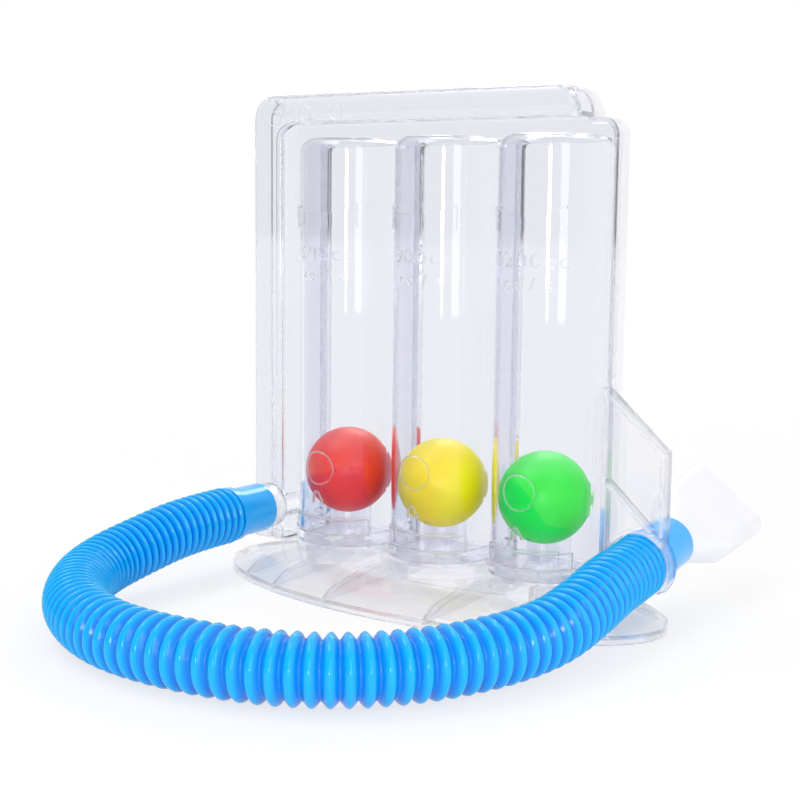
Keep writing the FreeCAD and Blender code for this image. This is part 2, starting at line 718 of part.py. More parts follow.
def make_tube_bracket():
    """Clear wing at the body's right side, with a clip at its foot that the hose snaps into."""
    body = new_body("tube_bracket")
    clip_outer = "(hose_radius + clip_clearance + clip_wall)"
    clip_x = "body_right + clip_reach"
    outer_x = "body_right + bracket_width"
    low = "deck_height + collar_height + bracket_gap"
    slope = "((bracket_top - bracket_shoulder) / bracket_width)"
    outline = new_sketch(body, "BracketOutline", "XZ_Plane", "-seam_y")
    polygon(outline, [
        ("body_right", low), (outer_x, low), (outer_x, "bracket_shoulder"), ("body_right", "bracket_top"),
    ])
    pad(body, outline, "seam_y - bracket_front_y")
    lift = "bracket_wall * sqrt(1 + %s ^ 2)" % slope
    rib_slope = "((bracket_rib_top - bracket_rib_foot) / bracket_width)"
    rib_lift = "bracket_wall * sqrt(1 + %s ^ 2)" % rib_slope
    near_x = "body_right + bracket_wall"
    far_x = "%s - bracket_wall" % outer_x
    window = new_sketch(body, "BracketWindow", "XZ_Plane", "-bracket_front_y")
    polygon(window, [
        (near_x, "bracket_top - bracket_wall * %s - %s" % (slope, lift)),
        (far_x, "bracket_shoulder + bracket_wall * %s - %s" % (slope, lift)),
        (far_x, "bracket_rib_foot + bracket_wall * %s" % rib_slope),
        (near_x, "bracket_rib_top - bracket_wall * %s" % rib_slope),
    ])
    pocket(body, window, "seam_y - bracket_front_y - bracket_wall")
    pane = new_sketch(body, "BracketPane", "XZ_Plane", "-bracket_front_y")
    polygon(pane, [
        (near_x, "bracket_rib_top - bracket_wall * %s - %s" % (rib_slope, rib_lift)),
        (far_x, "bracket_rib_foot + bracket_wall * %s - %s" % (rib_slope, rib_lift)),
        (far_x, low), (near_x, low),
    ])
    pocket(body, pane, "seam_y - bracket_front_y - bracket_wall")
    clip = new_sketch(body, "ClipRing", "XZ_Plane", "-seam_y")
    circle(clip, clip_x, "clip_height", clip_outer)
    pad(body, clip, "seam_y - bracket_front_y")
    bore = new_sketch(body, "ClipBore", "XZ_Plane", "-bracket_front_y")
    circle(bore, clip_x, "clip_height", "hose_radius + clip_clearance")
    pocket(body, bore, "seam_y - bracket_front_y")
    mouth = new_sketch(body, "ClipMouth", "XZ_Plane", "-bracket_front_y")
    rectangle(mouth, "%s - %s - 1" % (clip_x, clip_outer), "%s + %s + 1" % (clip_x, clip_outer),
              "clip_height - %s - 1" % clip_outer, "bracket_foot")
    pocket(body, mouth, "seam_y - bracket_front_y")
    return body


def route_wire(points):
    """Straight runs joined by tangent arcs as large as their runs allow, and the arcs' radii."""
    places = [Vector(*point) for point in points]
    edges = []
    radii = []
    start = places[0]
    for before, corner, after in zip(places, places[1:], places[2:]):
        arriving = corner - before
        leaving = after - corner
        turn = arriving.getAngle(leaving)
        reach = 0.45 * min(arriving.Length, leaving.Length)
        radii.append(reach / math.tan(turn / 2))
        entry = corner - arriving.normalize() * reach
        exit_point = corner + leaving.normalize() * reach
        outward = (corner - (entry + exit_point) * 0.5).normalize()
        half_chord = (exit_point - entry).Length / 2
        sagitta = radii[-1] - math.sqrt(radii[-1] ** 2 - half_chord ** 2)
        middle = (entry + exit_point) * 0.5 + outward * sagitta
        edges.append(Part.LineSegment(start, entry).toShape())
        edges.append(Part.Arc(entry, middle, exit_point).toShape())
        start = exit_point
    edges.append(Part.LineSegment(start, places[-1]).toShape())
    return Part.Wire(edges), radii


def make_hose_tube():
    """The hose as a plain tube along its route."""
    wire, radii = route_wire(HOSE_ROUTE)
    start = Vector(*HOSE_ROUTE[0])
    heading = Vector(*HOSE_ROUTE[1]) - start
    solids = []
    for radius in (size("hose_radius"), size("hose_bore")):
        ring = Part.Wire([Part.Circle(start, heading, radius).toShape()])
        solids.append(wire.makePipeShell([ring], True, False))
    tube = doc.addObject("Part::Feature", "hose_tube")
    tube.Shape = solids[0].cut(solids[1])
    tube.Placement = FreeCAD.Placement()
    tube.Label = "hose_tube"
    section = math.pi * (size("hose_radius") ** 2 - size("hose_bore") ** 2)
    print("hose length %.1f, radii %s" % (wire.Length, ["%.1f" % radius for radius in radii]))
    print("hose volume %.1f, section times length %.1f" % (tube.Shape.Volume, section * wire.Length))
    return tube


def make_cuff(label, place, direction):
    """Smooth sleeve that ends the corrugated hose; its collar meets the hose at its own origin."""
    body = new_body(label)
    bore = "nozzle_radius + fit_clearance"
    revolved(body, label + "Profile", [
        ("hose_bore", "0"), ("cuff_collar_radius", "0"), ("cuff_collar_radius", "cuff_collar_width"),
        ("cuff_radius", "cuff_collar_width + cuff_collar_bevel"), ("cuff_radius", "cuff_length"),
        (bore, "cuff_length"), (bore, "cuff_collar_width"), ("hose_bore", "cuff_collar_width"),
    ])
    body.Placement = FreeCAD.Placement(place, FreeCAD.Rotation(Vector(0, 0, 1), direction))
    return body


def mouth_section(wide, thick, corner, height):
    """A closed outline of eight edges: an oblong with round corners, or a circle if all three are equal."""
    is_round = near(wide, corner) and near(thick, corner)
    trim = math.radians(size("mouthpiece_side_angle")) if is_round else 0.0
    corners = []
    for quarter, (side_x, side_y) in enumerate(((1, 1), (-1, 1), (-1, -1), (1, -1))):
        middle = Vector(side_x * (wide - corner), side_y * (thick - corner), height)
        start = quarter * math.pi / 2 + trim
        end = (quarter + 1) * math.pi / 2 - trim
        corners.append(Part.ArcOfCircle(Part.Circle(middle, Vector(0, 0, 1), corner), start, end))
    edges = []
    for number, arc in enumerate(corners):
        following = corners[(number + 1) % len(corners)]
        if is_round:
            way = (number + 1) * math.pi / 2
            crest = Vector(corner * math.cos(way), corner * math.sin(way), height)
            side = Part.Arc(arc.EndPoint, crest, following.StartPoint)
        else:
            side = Part.LineSegment(arc.EndPoint, following.StartPoint)
        edges += [arc.toShape(), side.toShape()]
    return Part.Wire(edges)


def make_mouthpiece(place, direction):
    """Flat mouthpiece whose round spigot sits in the cuff; its own Z runs to the mouth."""
    solids = []
    for inset in ("0", "mouthpiece_wall"):
        spigot = size("nozzle_radius - mouthpiece_play - (%s)" % inset)
        corner = size("mouthpiece_corner - (%s)" % inset)
        neck = [size("mouthpiece_neck_%s / 2 - (%s)" % (way, inset)) for way in ("width", "thickness")]
        lips = [size("mouthpiece_%s / 2 - (%s)" % (way, inset)) for way in ("width", "thickness")]
        sections = [
            mouth_section(spigot, spigot, spigot, 0.0),
            mouth_section(spigot, spigot, spigot, size("mouthpiece_spigot")),
            mouth_section(neck[0], neck[1], corner, size("mouthpiece_neck_height")),
            mouth_section(lips[0], lips[1], corner, size("mouthpiece_length")),
        ]
        solids.append(Part.makeLoft(sections, True, True))
    mouthpiece = doc.addObject("Part::Feature", "mouthpiece")
    mouthpiece.Shape = solids[0].cut(solids[1])
    mouthpiece.Label = "mouthpiece"
    turned = FreeCAD.Rotation(Vector(*MOUTHPIECE_WIDE_WAY), Vector(), direction, "ZXY")
    mouthpiece.Placement = FreeCAD.Placement(place, turned)
    return mouthpiece


nodes = [make_front_shell(), make_rear_cover()]
for number, (name, column) in enumerate(COLUMNS):
    nodes.append(make_column_floor(name, column, number))
for label, (name, column) in zip(("ball_red", "ball_yellow", "ball_green"), COLUMNS):
    nodes.append(make_ball(label, column))
nodes.append(make_outlet_nozzle())
nodes.append(make_base_foot())
nodes.append(make_tube_bracket())
nodes.append(make_hose_tube())
hose_start = Vector(*HOSE_ROUTE[0])
hose_end = Vector(*HOSE_ROUTE[-1])
end_direction = (hose_end - Vector(*HOSE_ROUTE[-2])).normalize()
nodes.append(make_cuff("cuff_nozzle_end", hose_start, hose_start - Vector(*HOSE_ROUTE[1])))
nodes.append(make_cuff("cuff_mouth_end", hose_end, end_direction))
seat = hose_end + end_direction * size("cuff_collar_width + mouthpiece_seat_gap")
nodes.append(make_mouthpiece(seat, end_direction))
print("mouthpiece direction %s" % end_direction)
doc.recompute()

for feature in doc.Objects:
    if "Invalid" in feature.State or "Error" in feature.State:
        raise ValueError(feature.Name + " did not build")
for node in nodes:
    if node.Shape.isNull() or not node.Shape.isValid():
        raise ValueError(node.Label + " has no valid shape")
    node.Shape.exportStep("parts/%s.step" % node.Label)
    print(node.Label, len(node.Shape.Solids), round(node.Shape.Volume, 1))
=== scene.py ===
import math

import bmesh
import bpy
from mathutils import Matrix, Vector


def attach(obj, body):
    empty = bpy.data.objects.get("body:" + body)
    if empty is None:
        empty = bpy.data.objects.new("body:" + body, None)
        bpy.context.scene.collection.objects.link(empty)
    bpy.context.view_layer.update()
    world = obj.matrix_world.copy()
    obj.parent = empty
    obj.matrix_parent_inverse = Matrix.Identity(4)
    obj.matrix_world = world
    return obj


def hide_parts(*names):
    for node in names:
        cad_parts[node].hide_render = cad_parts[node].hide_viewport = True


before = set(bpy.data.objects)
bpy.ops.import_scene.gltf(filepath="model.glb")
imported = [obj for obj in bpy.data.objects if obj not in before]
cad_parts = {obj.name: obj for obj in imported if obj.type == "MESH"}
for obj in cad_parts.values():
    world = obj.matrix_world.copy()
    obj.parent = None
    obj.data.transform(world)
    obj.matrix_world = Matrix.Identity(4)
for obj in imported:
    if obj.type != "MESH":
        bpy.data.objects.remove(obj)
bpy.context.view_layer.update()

# Three-ball incentive spirometer on a white table, in metres, in the frame of the solids.
# The clear mouldings, balls, sleeves and mouthpiece are the solids themselves with a finish;
# the corrugated hose and the raised marks are made here.

scene = bpy.context.scene
MM = 0.001


# Camera

# The photograph's standing place and its turn, found from the columns, the foot and the balls
CAMERA_PLACE = Vector((0.2464, -0.3679, 0.1210))
CAMERA_AZIMUTH = math.radians(35.26)
CAMERA_ELEVATION = math.radians(7.67)
CAMERA_ROLL = math.radians(0.62)
CAMERA_FOCAL = 64.85
CAMERA_SENSOR = 36.0
CAMERA_NEAR = 0.01
CAMERA_FAR = 20.0


def add_camera():
    """The camera that looks at the columns from the photograph's side."""
    data = bpy.data.cameras.new("Camera")
    data.sensor_width = CAMERA_SENSOR
    data.lens = CAMERA_FOCAL
    data.clip_start = CAMERA_NEAR
    data.clip_end = CAMERA_FAR
    camera = bpy.data.objects.new("Camera", data)
    scene.collection.objects.link(camera)
    back = Vector((
        math.sin(CAMERA_AZIMUTH) * math.cos(CAMERA_ELEVATION),
        -math.cos(CAMERA_AZIMUTH) * math.cos(CAMERA_ELEVATION),
        math.sin(CAMERA_ELEVATION),
    ))
    level_right = (-back).cross(Vector((0, 0, 1))).normalized()
    level_up = level_right.cross(-back)
    right = level_right * math.cos(CAMERA_ROLL) + level_up * math.sin(CAMERA_ROLL)
    up = level_up * math.cos(CAMERA_ROLL) - level_right * math.sin(CAMERA_ROLL)
    turn = Matrix((right, up, back)).transposed()
    camera.matrix_world = Matrix.Translation(CAMERA_PLACE) @ turn.to_4x4()
    scene.camera = camera


add_camera()


# Colours and material nodes

def colour(hex_text):
    """An sRGB hex colour as linear red, green, blue and alpha."""
    channels = [int(hex_text[place:place + 2], 16) / 255 for place in (0, 2, 4)]
    linear = [c / 12.92 if c <= 0.04045 else ((c + 0.055) / 1.055) ** 2.4 for c in channels]
    return (*linear, 1.0)


def new_material(name):
    """A material with an empty node tree."""
    material = bpy.data.materials.new(name)
    material.use_nodes = True
    material.node_tree.nodes.clear()
    return material


def node(tree, kind, settings=None, **sockets):
    """A node with its settings and its sockets' values or links.

    A socket goes by its name, or by i and its number where names repeat: a Mix of two colours
    takes its share at i0, the colours at i6 and i7, and gives its result at outputs[2].
    """
    made = tree.nodes.new(kind)
    for name, value in (settings or {}).items():
        setattr(made, name, value)
    for name, value in sockets.items():
        numbered = name[0] == "i" and name[1:].isdigit()
        socket = made.inputs[int(name[1:]) if numbered else name.replace("_", " ")]
        if isinstance(value, bpy.types.NodeSocket):
            tree.links.new(value, socket)
        else:
            socket.default_value = value
    return made


def streaks(tree, wide_mm, tall_mm, detail):
    """Noise in the object's own coordinates, drawn out along Z."""
    place = node(tree, "ShaderNodeTexCoord").outputs["Object"]
    across, along = 1 / (wide_mm * MM), 1 / (tall_mm * MM)
    scaled = node(tree, "ShaderNodeMapping", Vector=place, Scale=(across, across, along))
    noise = node(tree, "ShaderNodeTexNoise", Vector=scaled.outputs["Vector"], Scale=1.0,
                 Detail=detail)
    return noise.outputs["Fac"]


# Clear mouldings

# Moulding waves run along the draw of the tool, three times longer up than across
WAVE_STRETCH = 3.0
# What goes straight through a wall loses this little
CLEAR_TINT = "FBFBFD"


def clear_plastic(name, tint, thin, rough, ior, wave_mm, wave_height_mm):
    """Moulded clear plastic: a wall bends what is seen through it, and shows its edges.

    A share of the view, thin, goes straight on, as through a wall too thin to bend it.
    Light for shadows all goes straight on, so that the table keeps a pale shadow only.
    """
    material = new_material(name)
    tree = material.node_tree
    waves = streaks(tree, wave_mm, wave_mm * WAVE_STRETCH, detail=1.0)
    bump = node(tree, "ShaderNodeBump", Strength=1.0, Distance=wave_height_mm * MM, Height=waves)
    plastic = node(tree, "ShaderNodeBsdfPrincipled", Base_Color=colour(tint), Roughness=rough,
                   IOR=ior, Transmission_Weight=1.0, Normal=bump.outputs["Normal"])
    straight = node(tree, "ShaderNodeBsdfTransparent", Color=colour(CLEAR_TINT))
    rays = node(tree, "ShaderNodeLightPath")
    share = node(tree, "ShaderNodeMapRange", Value=rays.outputs["Is Shadow Ray"],
                 To_Min=thin, To_Max=1.0)
    both = node(tree, "ShaderNodeMixShader", i0=share.outputs[0],
                i1=plastic.outputs["BSDF"], i2=straight.outputs["BSDF"])
    node(tree, "ShaderNodeOutputMaterial", Surface=both.outputs["Shader"])
    return material


# The housing's polystyrene is faintly blue-grey in the thickness of its walls
CLEAR_HOUSING = clear_plastic(
    "housing_clear_polystyrene", tint="F4F5F9", thin=0.0, rough=0.03, ior=1.4,
    wave_mm=14.0, wave_height_mm=0.02)
# The cover behind the columns is one flat thin sheet: its ribs and rims are pale grey lines
CLEAR_COVER = clear_plastic(
    "cover_clear_polystyrene", tint="F6F7FA", thin=0.62, rough=0.05, ior=1.3,
    wave_mm=14.0, wave_height_mm=0.01)
# The foot and the bracket are more wavy, so that what lies behind them wobbles
CLEAR_FOOT = clear_plastic(
    "foot_clear_polystyrene", tint="F1F2F6", thin=0.35, rough=0.06, ior=1.4,
    wave_mm=9.0, wave_height_mm=0.03)
# The floors of the columns are thin and sit in shadow, so they show as faint lines only
CLEAR_INSERT = clear_plastic(
    "insert_clear_polystyrene", tint="FDFDFE", thin=0.82, rough=0.06, ior=1.3,
    wave_mm=9.0, wave_height_mm=0.01)
# The nozzle is rubbed fine by its sleeve, which makes it whitish
FROSTED_NOZZLE = clear_plastic(
    "nozzle_frosted_polystyrene", tint="FDFDFE", thin=0.4, rough=0.28, ior=1.3,
    wave_mm=6.0, wave_height_mm=0.02)
# Raised figures and gate marks have a satin face that scatters light, paler than the wall
FROSTED_RELIEF = clear_plastic(
    "relief_frosted_polystyrene", tint="FBFBFE", thin=0.1, rough=0.35, ior=1.45,
    wave_mm=4.0, wave_height_mm=0.01)


# Balls, sleeves and mouthpiece

# Painted highlight: each ball is painted paler towards its top between these heights, for light
# from above
PAINTED_HIGHLIGHT_FOOT = 40.0 * MM
PAINTED_HIGHLIGHT_TOP = 54.0 * MM
PAINTED_HIGHLIGHT_SHARE = 0.4
# The ball's colour drifts over about two thirds of its width, as its wall does
BALL_DRIFT_MM = (19.0, 30.0)
BALL_DRIFT_ENDS = (0.38, 0.62)


def ball_plastic(name, deep, middle, pale):
    """Blow-moulded satin ball: its thin wall lets light in, so its colour drifts and its rim
    goes pale, and its highlight is soft and broad. Its top is painted paler, a painted
    highlight."""
    material = new_material(name)
    tree = material.node_tree
    drift = streaks(tree, *BALL_DRIFT_MM, detail=1.0)
    spread = node(tree, "ShaderNodeMapRange", Value=drift,
                  From_Min=BALL_DRIFT_ENDS[0], From_Max=BALL_DRIFT_ENDS[1])
    wall = node(tree, "ShaderNodeMix", {"data_type": "RGBA"}, i0=spread.outputs[0],
                i6=colour(deep), i7=colour(middle))
    place = node(tree, "ShaderNodeTexCoord").outputs["Object"]
    height = node(tree, "ShaderNodeSeparateXYZ", Vector=place)
    # Painted highlight: the colour turns to the pale one towards the top, by height
    painted_highlight = node(tree, "ShaderNodeMapRange", {"interpolation_type": "SMOOTHSTEP"},
               Value=height.outputs["Z"], From_Min=PAINTED_HIGHLIGHT_FOOT, From_Max=PAINTED_HIGHLIGHT_TOP, To_Max=PAINTED_HIGHLIGHT_SHARE)
    body = node(tree, "ShaderNodeMix", {"data_type": "RGBA"}, i0=painted_highlight.outputs[0],
                i6=wall.outputs[2], i7=colour(pale))
    plastic = node(tree, "ShaderNodeBsdfPrincipled", Base_Color=body.outputs[2], Roughness=0.42,
                   IOR=1.35, Sheen_Weight=0.16, Sheen_Roughness=0.4, Sheen_Tint=colour(pale),
                   Coat_Weight=0.15, Coat_Roughness=0.22)
    node(tree, "ShaderNodeOutputMaterial", Surface=plastic.outputs["BSDF"])
    return material


def sleeve_plastic():
    """Injection-moulded polythene sleeve: even cyan blue with long soft highlights."""
    material = new_material("cuff_blue_polythene")
    tree = material.node_tree
    # Flow marks of the melt, about 7 mm across and twice as long
    drift = streaks(tree, wide_mm=7.0, tall_mm=12.0, detail=2.0)
    body = node(tree, "ShaderNodeMix", {"data_type": "RGBA"}, i0=drift,
                i6=colour("00AAFF"), i7=colour("00B4FF"))
    fine = node(tree, "ShaderNodeBump", Strength=1.0, Distance=0.01 * MM, Height=drift)
    plastic = node(tree, "ShaderNodeBsdfPrincipled", Base_Color=body.outputs[2], Roughness=0.24,
                   IOR=1.32, Coat_Weight=0.7, Coat_Roughness=0.06, Normal=fine.outputs["Normal"])
    node(tree, "ShaderNodeOutputMaterial", Surface=plastic.outputs["BSDF"])
    return material


# A fold runs from valley, 0, to ridge, 0.5, and its colour turns between these: painted shade in
# the valleys, painted light on the ridges
FOLD_VALLEY = 0.08
FOLD_RIDGE = 0.42


def hose_plastic():
    """Blown polythene: the stretched ridges are glossier than the valleys; the ridges are
    painted a paler blue as painted light, the valleys a deeper blue as painted shade.
    """
    material = new_material("hose_blue_polythene")
    tree = material.node_tree
    folds = node(tree, "ShaderNodeUVMap").outputs["UV"]
    turns = node(tree, "ShaderNodeSeparateXYZ", Vector=folds)
    fold = node(tree, "ShaderNodeMath", {"operation": "PINGPONG"}, i0=turns.outputs["Y"], i1=0.5)
    height = node(tree, "ShaderNodeMapRange", {"interpolation_type": "SMOOTHSTEP"},
                  Value=fold.outputs[0], From_Min=FOLD_VALLEY, From_Max=FOLD_RIDGE)
    # Painted shade and light: deeper blue 0088EA in the valleys, paler blue 00B2F4 on the ridges
    body = node(tree, "ShaderNodeMix", {"data_type": "RGBA"}, i0=height.outputs[0],
                i6=colour("0088EA"), i7=colour("00B2F4"))
    # The blown skin is uneven over about 5 mm, a little more than one fold
    skin = streaks(tree, wide_mm=5.0, tall_mm=5.0, detail=2.0)
    fine = node(tree, "ShaderNodeBump", Strength=1.0, Distance=0.02 * MM, Height=skin)
    rough = node(tree, "ShaderNodeMapRange", Value=height.outputs[0], To_Min=0.34, To_Max=0.2)
    plastic = node(tree, "ShaderNodeBsdfPrincipled", Base_Color=body.outputs[2],
                   Roughness=rough.outputs[0], IOR=1.25, Coat_Weight=0.45, Coat_Roughness=0.13,
                   Normal=fine.outputs["Normal"])
    node(tree, "ShaderNodeOutputMaterial", Surface=plastic.outputs["BSDF"])
    return material


def milky_plastic():
    """Natural polypropylene of the mouthpiece: nearly white, waxy, with a soft sheen."""
    material = new_material("mouthpiece_milky_polypropylene")
    tree = material.node_tree
    # Cloudy over about the mouthpiece's thickness
    drift = streaks(tree, wide_mm=12.0, tall_mm=20.0, detail=1.0)
    body = node(tree, "ShaderNodeMix", {"data_type": "RGBA"}, i0=drift,
                i6=colour("F0F1F7"), i7=colour("F8F8FC"))
    plastic = node(tree, "ShaderNodeBsdfPrincipled", Base_Color=body.outputs[2], Roughness=0.32,
                   IOR=1.48, Coat_Weight=0.2, Coat_Roughness=0.2)
    node(tree, "ShaderNodeOutputMaterial", Surface=plastic.outputs["BSDF"])
    return material


# Mesh making

def new_piece(name, work, material):
    """A smooth-shaded object from a finished bmesh, which is freed."""
    bmesh.ops.recalc_face_normals(work, faces=work.faces)
    mesh = bpy.data.meshes.new(name)
    work.to_mesh(mesh)
    work.free()
    mesh.shade_smooth()
    mesh.materials.append(material)
    piece = bpy.data.objects.new(name, mesh)
    scene.collection.objects.link(piece)
    return piece


def bridge_rings(work, rings, segments, closed=False):
    """Join circles given as (place, heading, radius) one after the other."""
    upright = abs(rings[0][1].z) > 0.9
    side = Vector((1, 0, 0)) if upright else Vector((0, 0, 1))
    loops = []
    for place, heading, radius in rings:
        side = (side - heading * side.dot(heading)).normalized()
        turn = Matrix((side, heading.cross(side), heading)).transposed().to_4x4()
        made = bmesh.ops.create_circle(work, segments=segments, radius=radius,
                                       matrix=Matrix.Translation(place) @ turn)
        loops.append(list({edge for vertex in made["verts"] for edge in vertex.link_edges}))
    pairs = list(zip(loops, loops[1:]))
    if closed:
        pairs.append((loops[-1], loops[0]))
    for before, after in pairs:
        bmesh.ops.bridge_loops(work, edges=before + after)


# Hose

# The solid tube's route with its bend drawn tighter, as in the photograph, millimetres
HOSE_ROUTE = [
    (-70.0, -19.5, 19.0),
    (-70.0, -38.5, 19.0),
    (-70.7, -58.0, 15.8),
    (-70.3, -75.5, 12.8),
    (-63.2, -90.5, 11.0),
    (-48.5, -104.8, 9.9),
    (-25.8, -114.8, 9.5),
    (0.9, -115.7, 9.5),
    (25.9, -110.4, 9.5),
    (45.4, -98.6, 9.5),
    (60.8, -75.8, 9.6),
    (68.8, -48.9, 10.6),
    (68.4, -26.3, 13.6),
    (66.8, -10.0, 15.8),
    (66.0, 2.0, 16.2),
    (65.3, 16.0, 17.8),
]
HOSE_RIDGE = 9.3 * MM
HOSE_VALLEY = 7.3 * MM
# Steps of the hose's line between two points of its route, round it, and along one fold
HOSE_CURVE_STEPS = 64
HOSE_SEGMENTS = 48
HOSE_STEPS = 10
# Below 1, the ridges are rounder and wider than the valleys
RIDGE_ROUNDNESS = 0.6
# How far apart the ridges are at shares of the hose's length:
# pushed together at both ends, drawn out in front
HOSE_PITCHES = (
    (0.0, 3.0 * MM),
    (0.26, 2.9 * MM),
    (0.42, 4.4 * MM),
    (0.66, 4.2 * MM),
    (1.0, 3.2 * MM),
)


def hose_line():
    """Points along the hose's own spline, closely spaced."""
    data = bpy.data.curves.new("HoseLine", "CURVE")
    data.dimensions = "3D"
    data.resolution_u = HOSE_CURVE_STEPS
    spline = data.splines.new("NURBS")
    spline.points.add(len(HOSE_ROUTE) - 1)
    for point, place in zip(spline.points, HOSE_ROUTE):
        point.co = (*[value * MM for value in place], 1.0)
    spline.order_u = 3
    spline.use_endpoint_u = True
    carrier = bpy.data.objects.new("HoseLine", data)
    mesh = bpy.data.meshes.new_from_object(carrier)
    line = [vertex.co.copy() for vertex in mesh.vertices]
    bpy.data.objects.remove(carrier)
    bpy.data.meshes.remove(mesh)
    bpy.data.curves.remove(data)
    return line


def places_along(line, distances):
    """Places and headings at rising distances along a line of points."""
    found = []
    passed = 0.0
    step = 0
    for distance in distances:
        while step < len(line) - 2 and passed + (line[step + 1] - line[step]).length < distance:
            passed += (line[step + 1] - line[step]).length
            step += 1
        heading = (line[step + 1] - line[step]).normalized()
        found.append((line[step] + heading * (distance - passed), heading))
    return found


def pitch_at(share):
    """The ridges' spacing at a share of the hose's length."""
    for (start, before), (end, after) in zip(HOSE_PITCHES, HOSE_PITCHES[1:]):
        if share <= end:
            return before + (after - before) * (share - start) / (end - start)
    return HOSE_PITCHES[-1][1]


def fold_distances(length):
    """Distances of the folds' steps along the hose, a whole number of folds from end to end."""
    distances = [0.0]
    while distances[-1] < length:
        distances.append(distances[-1] + pitch_at(distances[-1] / length) / HOSE_STEPS)
    spare = (len(distances) - 1) % HOSE_STEPS
    if spare:
        distances = distances[:-spare]
    return [distance * length / distances[-1] for distance in distances]


def add_hose():
    """Corrugated hose: rounded ridges and narrower valleys along the spline."""
    line = hose_line()
    length = sum((b - a).length for a, b in zip(line, line[1:]))
    rings = []
    for index, (place, heading) in enumerate(places_along(line, fold_distances(length))):
        wave = 0.5 - 0.5 * math.cos(2 * math.pi * index / HOSE_STEPS)
        radius = HOSE_VALLEY + (HOSE_RIDGE - HOSE_VALLEY) * wave ** RIDGE_ROUNDNESS
        rings.append((place, heading, radius))
    work = bmesh.new()
    bridge_rings(work, rings, HOSE_SEGMENTS)
    work.verts.index_update()
    folds = work.loops.layers.uv.new("Folds")
    for face in work.faces:
        for loop in face.loops:
            ring, turn = divmod(loop.vert.index, HOSE_SEGMENTS)
            loop[folds].uv = (turn / HOSE_SEGMENTS, ring / HOSE_STEPS)
    hose = new_piece("corrugated_hose", work, hose_plastic())
    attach(hose, "housing")
    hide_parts("hose_tube")


add_hose()


# Figures and marks on the columns, which are numbered -1, 0 and 1 from the red one

COLUMN_PITCH = 37.0 * MM
COLUMN_RADIUS = 16.0 * MM
COLUMN_AXIS_Y = 4.0 * MM
FIGURE_HEIGHT = 4.3 * MM
FIGURE_FOOT = 103.9 * MM
UNIT_HEIGHT = 3.6 * MM
UNIT_FOOT = 97.6 * MM
# The letters are wide and stand apart, a little to the right of the column's front
LETTER_SPACING = 1.2
LETTER_WIDTH = 1.2
LETTER_CURVE_STEPS = 4
FIGURE_SHIFT = 1.2 * MM
# The figures stand this clear of the wall, and are this thick
FIGURE_GAP = 0.12 * MM
FIGURE_STEP = 0.3 * MM
# A capital's share of the lettering's size
CAPITAL_SHARE = 0.69
RING_RADIUS = 5.3 * MM
RING_BEAD = 0.28 * MM
RING_STEPS = 40
# Heights of the moulded rings and gate marks over the red, the yellow and the green ball
RING_HEIGHTS = (37.6 * MM, 40.3 * MM, 38.7 * MM)
GATE_HEIGHTS = (28.1 * MM, 28.1 * MM, 26.5 * MM)
# A gate mark's bent line, across and up from its middle, millimetres
GATE_LINE = ((-1.7, -1.9), (-1.6, 0.4), (-1.0, 1.9), (0.1, 1.5), (1.3, -0.6), (1.9, -1.4))
GATE_BEAD = 0.42 * MM
GATE_RISE = 0.1 * MM
# The raised frame round the foot of each column, by distance round it and height
FRAME_LEFT = -13.0 * MM
FRAME_RIGHT = 17.0 * MM
FRAME_FOOT = 16.2 * MM
FRAME_TOP = 21.2 * MM
FRAME_BEAD = 0.34 * MM
FRAME_STEPS = 14
BEAD_SEGMENTS = 8


def on_column(column, across, up, out):
    """A place on a column's front, by distance round it, height and distance out."""
    angle = across / COLUMN_RADIUS
    radius = COLUMN_RADIUS + out
    return Vector((
        column * COLUMN_PITCH + radius * math.sin(angle),
        COLUMN_AXIS_Y - radius * math.cos(angle),
        up,
    ))


def add_figures(name, text, column, height, foot):
    """Raised figures wrapped round a column's front."""
    data = bpy.data.curves.new(name, "FONT")
    data.body = text
    data.align_x = "CENTER"
    data.size = height / CAPITAL_SHARE
    data.space_character = LETTER_SPACING
    data.extrude = FIGURE_STEP / 2
    data.resolution_u = LETTER_CURVE_STEPS
    carrier = bpy.data.objects.new(name, data)
    mesh = bpy.data.meshes.new_from_object(carrier)
    bpy.data.objects.remove(carrier)
    bpy.data.curves.remove(data)
    for vertex in mesh.vertices:
        across, up, out = vertex.co
        place = FIGURE_SHIFT + across * LETTER_WIDTH
        vertex.co = on_column(column, place, foot + up, FIGURE_GAP + FIGURE_STEP / 2 + out)
    mesh.materials.clear()
    mesh.materials.append(FROSTED_RELIEF)
    figures = bpy.data.objects.new(name, mesh)
    scene.collection.objects.link(figures)
    return figures


def bead(name, places, radius, closed):
    """A thin raised bead along a line of places."""
    count = len(places)
    rings = []
    for index, place in enumerate(places):
        before = places[index - 1] if closed or index else place
        after = places[(index + 1) % count] if closed or index < count - 1 else place
        rings.append((place, (after - before).normalized(), radius))
    work = bmesh.new()
    bridge_rings(work, rings, BEAD_SEGMENTS, closed)
    if not closed:
        ends = [edge for edge in work.edges if edge.is_boundary]
        bmesh.ops.holes_fill(work, edges=ends, sides=0)
    return new_piece(name, work, FROSTED_RELIEF)


def circle_places(count, radius):
    """Across and up for points round a circle."""
    turns = [2 * math.pi * index / count for index in range(count)]
    return [(radius * math.cos(turn), radius * math.sin(turn)) for turn in turns]


def foot_frame_places(column):
    """Points along a column's foot frame, out along its foot and back along its top."""
    step = (FRAME_RIGHT - FRAME_LEFT) / FRAME_STEPS
    across = [FRAME_LEFT + step * index for index in range(FRAME_STEPS + 1)]
    foot = [on_column(column, place, FRAME_FOOT, 0.0) for place in across]
    return foot + [on_column(column, place, FRAME_TOP, 0.0) for place in reversed(across)]


